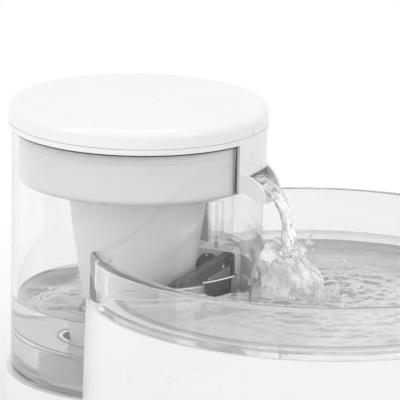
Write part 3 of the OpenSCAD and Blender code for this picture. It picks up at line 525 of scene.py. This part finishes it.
def fill_tank():
    """Still water in the tank: it follows the floor's ring and sump, with a rippled top."""
    bpy.ops.object.select_all(action="DESELECT")
    low = TANK_FLOOR_Z + SKIN
    radius = TANK_INNER_R - SKIN
    climb = 0.0008  # the water's edge climbs the wall
    top = TANK_WATER_Z + climb
    bpy.ops.mesh.primitive_cylinder_add(vertices=144, radius=radius, depth=top - low,
                                        location=(TANK_AXIS.x, TANK_AXIS.y, (top + low) / 2))
    water = bpy.context.object
    bpy.ops.object.transform_apply(location=True)
    bpy.ops.object.mode_set(mode="EDIT")
    pick_faces(water, lambda middle, normal: normal.z < -0.9)
    bpy.ops.mesh.inset(thickness=radius - PLATEAU_R - SKIN)
    push((0, 0, PLATEAU_H))
    bpy.ops.mesh.inset(thickness=PLATEAU_R - SUMP_R + 2 * SKIN)
    push((0, 0, -PLATEAU_H))
    pick_faces(water, lambda middle, normal: normal.z > 0.9 and middle.z > top - 0.0001)
    bpy.ops.mesh.inset(thickness=0.0015, depth=-climb)
    for _ in range(36):
        bpy.ops.mesh.inset(thickness=0.0017)
    bpy.ops.object.mode_set(mode="OBJECT")

    def calm_edge(place):
        off_wall = radius - (place.xy - TANK_AXIS.xy).length
        return min(1, max(0, off_wall - 0.0012) / 0.01) if place.z > TANK_WATER_Z - 0.0001 else 0

    group = weigh(water, "surface", calm_edge)
    rough_up(water, size=0.024, depth=0.0034, group=group)
    rough_up(water, size=0.01, depth=0.0014, group=group)
    finish_piece(water, "tank_water", WATER, "tank", 60)


def add_waves():
    """A block of water, larger than the basin, with waves running out from under the ramp's toe."""
    bpy.ops.object.select_all(action="DESELECT")
    size = 2 * BASIN_R + 0.006
    bpy.ops.mesh.primitive_grid_add(x_subdivisions=230, y_subdivisions=230, size=size,
                                    location=(0, BOWL_AXIS.y, BOWL_WATER_Z))
    water = bpy.context.object
    bpy.ops.object.transform_apply(location=True)
    splash = Vector((0.004, TANK_AXIS.y - 0.118, BOWL_WATER_Z))

    def near_splash(place):
        return math.exp(-(place - splash).length / 0.03)

    def beyond_splash(place):
        from_tank = (place.xy - TANK_AXIS.xy).length - BASIN_REACH
        return min(1, max(0, from_tank) / 0.012) * (0.4 + 0.6 * near_splash(place))

    strong = weigh(water, "strong", near_splash)
    broad = weigh(water, "broad", beyond_splash)
    ring_up(water, wavelength=0.0105, depth=0.0012, centre=splash, group=strong)
    rough_up(water, size=0.036, depth=0.0055, group=broad, stretch=(1.6, 1, 1), turn=(0, 0, 0.4))
    rough_up(water, size=0.014, depth=0.0022, group=broad, stretch=(1.8, 1, 1), turn=(0, 0, 0.4))
    rough_up(water, size=0.0055, depth=0.0046, group=strong)
    rough_up(water, size=0.0028, depth=0.0014, group=strong)
    bpy.ops.object.mode_set(mode="EDIT")
    bpy.ops.mesh.select_all(action="DESELECT")
    bpy.ops.mesh.select_mode(type="EDGE")
    bpy.ops.mesh.select_non_manifold()
    push((0, 0, BASIN_FLOOR_Z - BOWL_WATER_Z - 0.01))
    bpy.ops.mesh.edge_face_add()
    bpy.ops.mesh.select_all(action="SELECT")
    bpy.ops.mesh.normals_make_consistent(inside=False)
    bpy.ops.object.mode_set(mode="OBJECT")
    return water


def add_basin():
    """The room inside the bowl's basin: round, curved at its floor, cut off along the tank."""
    bpy.ops.object.select_all(action="DESELECT")
    low = BASIN_FLOOR_Z + SKIN
    top = BOWL_WATER_Z + 0.02
    bpy.ops.mesh.primitive_cylinder_add(vertices=160, radius=BASIN_R - SKIN, depth=top - low,
                                        location=(0, BOWL_AXIS.y, (top + low) / 2))
    basin = bpy.context.object
    bpy.ops.object.transform_apply(location=True)
    bpy.ops.object.mode_set(mode="EDIT")
    pick_faces(basin, lambda middle, normal: normal.z < -0.9)
    bpy.ops.mesh.bevel(offset=BASIN_CURVE, segments=6, affect="EDGES")
    bpy.ops.object.mode_set(mode="OBJECT")
    bpy.ops.object.select_all(action="DESELECT")
    bpy.ops.mesh.primitive_cylinder_add(vertices=160, radius=BASIN_REACH + SKIN, depth=0.2,
                                        location=(TANK_AXIS.x, TANK_AXIS.y, BASIN_FLOOR_Z))
    tank_side = bpy.context.object
    bpy.ops.object.transform_apply(location=True)
    carve(basin, "DIFFERENCE", tank_side)
    return basin


def fill_bowl():
    """Water in the bowl: the waves, within the basin."""
    water = add_waves()
    carve(water, "INTERSECT", add_basin())
    finish_piece(water, "bowl_water", WATER, "bowl", 60)


fill_tank()
fill_bowl()


# The collar's low corner has the y and z of its spout's tip
SPOUT_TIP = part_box("collar")[0]
RAMP_LOW, RAMP_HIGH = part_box("splash_ramp")
LANDING = Vector((0, SPOUT_TIP.y - 0.0106, SPOUT_TIP.z - 0.0295))
# The flow's middle line: way out from the spout's tip, height over the tip, half width and half thickness
FLOW = (
    (-0.0184, 0.0105, 0.0138, 0.0018),
    (-0.0140, 0.0106, 0.0138, 0.0020),
    (-0.0100, 0.0102, 0.0134, 0.0024),
    (-0.0050, 0.0080, 0.0112, 0.0032),
    (-0.0002, 0.0054, 0.0090, 0.0038),
    (0.0030, 0.0024, 0.0080, 0.0038),
    (0.0058, -0.0030, 0.0064, 0.0033),
    (0.0078, -0.0095, 0.0056, 0.0030),
    (0.0088, -0.0155, 0.0060, 0.0031),
    (0.0096, -0.0205, 0.0082, 0.0036),
    (0.0102, -0.0250, 0.0100, 0.0040),
    (0.0106, -0.0295, 0.0108, 0.0042),
)


def stream_stations(steps=4):
    """Places on a smooth curve through FLOW, each with its half width and half thickness."""
    rows = [FLOW[0], *FLOW, FLOW[-1]]
    stations = []
    for before, start, end, after in zip(rows, rows[1:], rows[2:], rows[3:]):
        for step in range(steps):
            t = step / steps
            out, up, width, depth = (
                b + t * (c - a) / 2 + t * t * (a - 2.5 * b + 2 * c - d / 2)
                + t ** 3 * (1.5 * (b - c) + (d - a) / 2)
                for a, b, c, d in zip(before, start, end, after))
            stations.append((Vector((0, SPOUT_TIP.y - out, SPOUT_TIP.z + up)), width, depth))
    return stations


def sweep_ribbon(stations):
    """A flow with thick rims and a thin middle, drawn through the stations ring by ring."""
    bpy.ops.object.select_all(action="DESELECT")
    bpy.ops.mesh.primitive_circle_add(vertices=32, radius=1, fill_type="NGON")
    ribbon = bpy.context.object
    for vertex in ribbon.data.vertices:
        vertex.co.y *= 0.75 + 0.25 * vertex.co.x ** 2
    bpy.ops.object.mode_set(mode="EDIT")
    bpy.ops.mesh.select_all(action="SELECT")
    centre, last_width, last_depth = stations[0]
    bpy.ops.transform.resize(value=(last_width, last_depth, 1))
    bpy.ops.transform.translate(value=centre)
    tilt = math.radians(90)
    bpy.ops.transform.rotate(value=-tilt, orient_axis="X", center_override=centre)
    last = centre
    for place, width, depth in stations[1:]:
        step = place - last
        heading = math.atan2(-step.y, -step.z)
        push(step)
        bpy.ops.transform.rotate(value=-(heading - tilt), orient_axis="X", center_override=place)
        deeper = depth / last_depth
        bpy.ops.transform.resize(value=(width / last_width, deeper, deeper), center_override=place)
        last, last_width, last_depth, tilt = place, width, depth, heading
    bpy.ops.mesh.select_all(action="SELECT")
    bpy.ops.mesh.normals_make_consistent(inside=False)
    bpy.ops.object.mode_set(mode="OBJECT")
    return ribbon


def pour_stream():
    """The falling stream, carried with the collar."""
    stream = sweep_ribbon(stream_stations())
    soften(stream, 1)
    rough_up(stream, size=0.006, depth=0.0036, direction="NORMAL", stretch=(1, 1, 2.2), centre=LANDING)
    rough_up(stream, size=0.0026, depth=0.0014, direction="NORMAL", stretch=(1, 1, 1.6))
    finish_piece(stream, "water_stream", FALLING_WATER, "collar", 70)
    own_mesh(stream)


def coat_ramp():
    """Water running down over the ramp: a skin on its outside with rivulets along the fall."""
    bpy.ops.object.select_all(action="DESELECT")
    heart = Vector((0, TANK_AXIS.y - 0.095, BOWL_WATER_Z + 0.004))
    bpy.ops.mesh.primitive_uv_sphere_add(segments=96, ring_count=64, radius=0.034, location=heart)
    skin = bpy.context.object
    bpy.ops.object.transform_apply(location=True)
    back = RAMP_HIGH.y - 0.013
    bpy.ops.object.mode_set(mode="EDIT")
    pick_faces(skin, lambda middle, normal: middle.z < BOWL_WATER_Z - 0.008 or middle.y > back)
    bpy.ops.mesh.delete(type="FACE")
    bpy.ops.object.mode_set(mode="OBJECT")
    wrap = skin.modifiers.new("wrap", "SHRINKWRAP")
    wrap.target = frame["nodes"]["splash_ramp"]
    wrap.wrap_method = "NEAREST_SURFACEPOINT"
    wrap.wrap_mode = "OUTSIDE_SURFACE"
    wrap.offset = 0.0005
    bpy.ops.object.modifier_apply(modifier=wrap.name)
    # The name alone is kept: the group itself is freed when a modifier is applied
    outer = skin.vertex_groups.new(name="outer").name
    wall = skin.modifiers.new("wall", "SOLIDIFY")
    wall.thickness = 0.0009
    wall.offset = 1
    wall.shell_vertex_group = outer
    bpy.ops.object.modifier_apply(modifier=wall.name)
    slope = math.atan2(RAMP_HIGH.z - BOWL_WATER_Z - 0.008, 0.028)
    for size, depth, stretch, centre in ((0.005, 0.0032, (1, 3.6, 1.6), LANDING),
                                         (0.002, 0.001, (1, 2.5, 1.4), heart)):
        rough_up(skin, size, depth, outer, "NORMAL", stretch, centre, turn=(slope, 0, 0))
    finish_piece(skin, "ramp_water", RAMP_WATER, "bowl", 70)


def raise_splash():
    """The lumpy crown where the stream meets the ramp."""
    bpy.ops.object.select_all(action="DESELECT")
    bpy.ops.mesh.primitive_ico_sphere_add(subdivisions=6, radius=1, location=LANDING,
                                          scale=(0.013, 0.0085, 0.005))
    crown = bpy.context.object
    bpy.ops.object.transform_apply(location=True, scale=True)
    rough_up(crown, size=0.0052, depth=0.0062, direction="NORMAL", centre=LANDING)
    rough_up(crown, size=0.0024, depth=0.0026, direction="NORMAL")
    finish_piece(crown, "splash_crown", SPRAY, "bowl", 70)


def scatter_beads(name, body, places):
    """Small drops or bubbles in one mesh: each place is a centre, a radius, a scale and a turn."""
    bpy.ops.object.select_all(action="DESELECT")
    beads = []
    for centre, radius, squeeze, turn in places:
        bpy.ops.mesh.primitive_ico_sphere_add(subdivisions=2, radius=radius, location=centre,
                                              rotation=(0, 0, turn), scale=squeeze)
        beads.append(bpy.context.object)
    select_only(*beads)
    bpy.ops.object.transform_apply(location=True, rotation=True, scale=True)
    bpy.ops.object.join()
    finish_piece(bpy.context.object, name, WATER, body, 80)


def throw_drops():
    """Drops flying up and out of the splash."""
    dice = random.Random(7)
    places = []
    for _ in range(26):
        angle = dice.uniform(0, 2 * math.pi)
        reach = dice.uniform(0.008, 0.019)
        centre = LANDING + Vector((reach * math.cos(angle), -abs(reach * math.sin(angle)) * 0.8,
                                   dice.uniform(0.0005, 0.008)))
        places.append((centre, dice.uniform(0.0004, 0.0011), (1, 1, dice.uniform(0.9, 1.4)), 0))
    scatter_beads("splash_drops", "bowl", places)


def float_bubbles():
    """Bubbles at the ramp's toe and a patch of froth further out."""
    dice = random.Random(11)
    places = []
    toe = Vector((0.004, RAMP_LOW.y - 0.004, BOWL_WATER_Z))
    for _ in range(60):
        angle = dice.uniform(0, 2 * math.pi)
        reach = abs(dice.gauss(0, 0.008))
        centre = toe + Vector((1.5 * reach * math.cos(angle), reach * math.sin(angle),
                               dice.uniform(0.0004, 0.0018)))
        places.append((centre, dice.uniform(0.0007, 0.0021), (1, 1, 0.8), 0))
    patch = Vector((0.062, TANK_AXIS.y - 0.097, BOWL_WATER_Z))
    for _ in range(80):
        centre = patch + Vector((dice.gauss(0, 0.005), dice.gauss(0, 0.005), dice.uniform(0.0002, 0.0012)))
        places.append((centre, dice.uniform(0.0005, 0.0012), (1, 1, 0.7), 0))
    scatter_beads("water_bubbles", "bowl", places)


def wet_tank_wall():
    """Droplets thrown onto the tank's outside above the return windows."""
    dice = random.Random(23)
    places = []
    for _ in range(34):
        angle = math.radians(dice.uniform(-34, 34))
        height = LIP_Z + 0.008 + abs(dice.gauss(0, 0.012))
        size = dice.uniform(0.0003, 0.0007)
        out = TANK_R + size * 0.15
        centre = Vector((out * math.sin(angle), TANK_AXIS.y - out * math.cos(angle), height))
        places.append((centre, size, (1, 0.55, 1.15), angle))
    scatter_beads("tank_droplets", "tank", places)


pour_stream()
coat_ramp()
raise_splash()
throw_drops()
float_bubbles()
wet_tank_wall()


# --- Studio ----------------------------------------------------------------------------------

def light_world():
    """White behind everything that is seen, a darker ceiling in reflections, plain light on matt faces."""
    world = bpy.data.worlds.new("studio")
    bpy.context.scene.world = world
    world.use_nodes = True
    nodes = world.node_tree.nodes
    links = world.node_tree.links
    output = nodes["World Output"]
    plain = nodes["Background"]
    plain.inputs["Color"].default_value = (0.985, 0.99, 1, 1)
    plain.inputs["Strength"].default_value = 0.84
    coords = nodes.new("ShaderNodeTexCoord")
    split = nodes.new("ShaderNodeSeparateXYZ")
    links.new(coords.outputs["Generated"], split.inputs["Vector"])
    ceiling = nodes.new("ShaderNodeValToRGB")
    stops = ceiling.color_ramp.elements
    stops[0].position = 0.5
    stops[0].color = (1, 1, 1, 1)
    stops[1].position = 1
    stops[1].color = (0.5, 0.51, 0.53, 1)
    knee = stops.new(0.76)
    knee.color = (0.82, 0.83, 0.85, 1)
    lift = nodes.new("ShaderNodeMapRange")
    lift.inputs["From Min"].default_value = -1
    lift.inputs["From Max"].default_value = 1
    links.new(split.outputs["Z"], lift.inputs["Value"])
    links.new(lift.outputs["Result"], ceiling.inputs["Fac"])
    seen = nodes.new("ShaderNodeBackground")
    links.new(ceiling.outputs["Color"], seen.inputs["Color"])
    white = nodes.new("ShaderNodeBackground")
    white.inputs["Color"].default_value = (1, 1, 1, 1)
    path = nodes.new("ShaderNodeLightPath")
    bent = either(nodes, links, path.outputs["Is Glossy Ray"], path.outputs["Is Transmission Ray"])
    unseen = mix_shaders(nodes, links, bent, plain.outputs["Background"], seen.outputs["Background"])
    backdrop = mix_shaders(nodes, links, path.outputs["Is Camera Ray"], unseen,
                           white.outputs["Background"])
    links.new(backdrop, output.inputs["Surface"])


def add_floor():
    """Pale floor that keeps the shadow near the fountain and is plain white further out."""
    bpy.ops.object.select_all(action="DESELECT")
    bpy.ops.mesh.primitive_circle_add(vertices=96, radius=6, fill_type="NGON", location=(0, 0, -0.0004))
    floor = bpy.context.object
    floor.name = "studio_floor"
    material, nodes, links, shader = fresh_material("studio_floor")
    shader.inputs["Base Color"].default_value = (0.9, 0.9, 0.9, 1)
    shader.inputs["Roughness"].default_value = 0.6
    shader.inputs["Specular IOR Level"].default_value = 0.1
    coords = nodes.new("ShaderNodeTexCoord")
    reach = nodes.new("ShaderNodeVectorMath")
    reach.operation = "LENGTH"
    links.new(coords.outputs["Object"], reach.inputs[0])
    far = spread(nodes, links, reach.outputs["Value"], 0, 1, 0.2, 0.5)
    glow = nodes.new("ShaderNodeEmission")
    glow.inputs["Color"].default_value = (1, 1, 1, 1)
    path = nodes.new("ShaderNodeLightPath")
    straight = either(nodes, links, path.outputs["Is Camera Ray"], path.outputs["Is Transmission Ray"])
    share = nodes.new("ShaderNodeMath")
    share.operation = "MULTIPLY"
    links.new(either(nodes, links, straight, path.outputs["Is Glossy Ray"]), share.inputs[0])
    links.new(far, share.inputs[1])
    surface = mix_shaders(nodes, links, share.outputs["Value"], shader.outputs["BSDF"],
                          glow.outputs["Emission"])
    links.new(surface, nodes["Material Output"].inputs["Surface"])
    floor.data.materials.append(material)


def add_softbox(name, place, size, power):
    """A rectangular lamp turned to the fountain's middle."""
    target = Vector((0, 0, 0.1))
    data = bpy.data.lights.new(name, "AREA")
    data.shape = "RECTANGLE"
    data.size, data.size_y = size
    data.energy = power
    lamp = bpy.data.objects.new(name, data)
    bpy.context.scene.collection.objects.link(lamp)
    lamp.location = place
    lamp.rotation_euler = (target - Vector(place)).to_track_quat("-Z", "Y").to_euler()


light_world()
add_floor()
add_softbox("softbox_top", place=(0.1, 0.1, 1.5), size=(1.0, 1.0), power=2.8)
add_softbox("softbox_left", place=(-1.1, 0.9, 0.9), size=(0.6, 0.9), power=4)
add_softbox("softbox_right", place=(-0.6, -1.6, 0.8), size=(0.6, 0.9), power=5)

bpy.context.scene.view_settings.view_transform = "Standard"
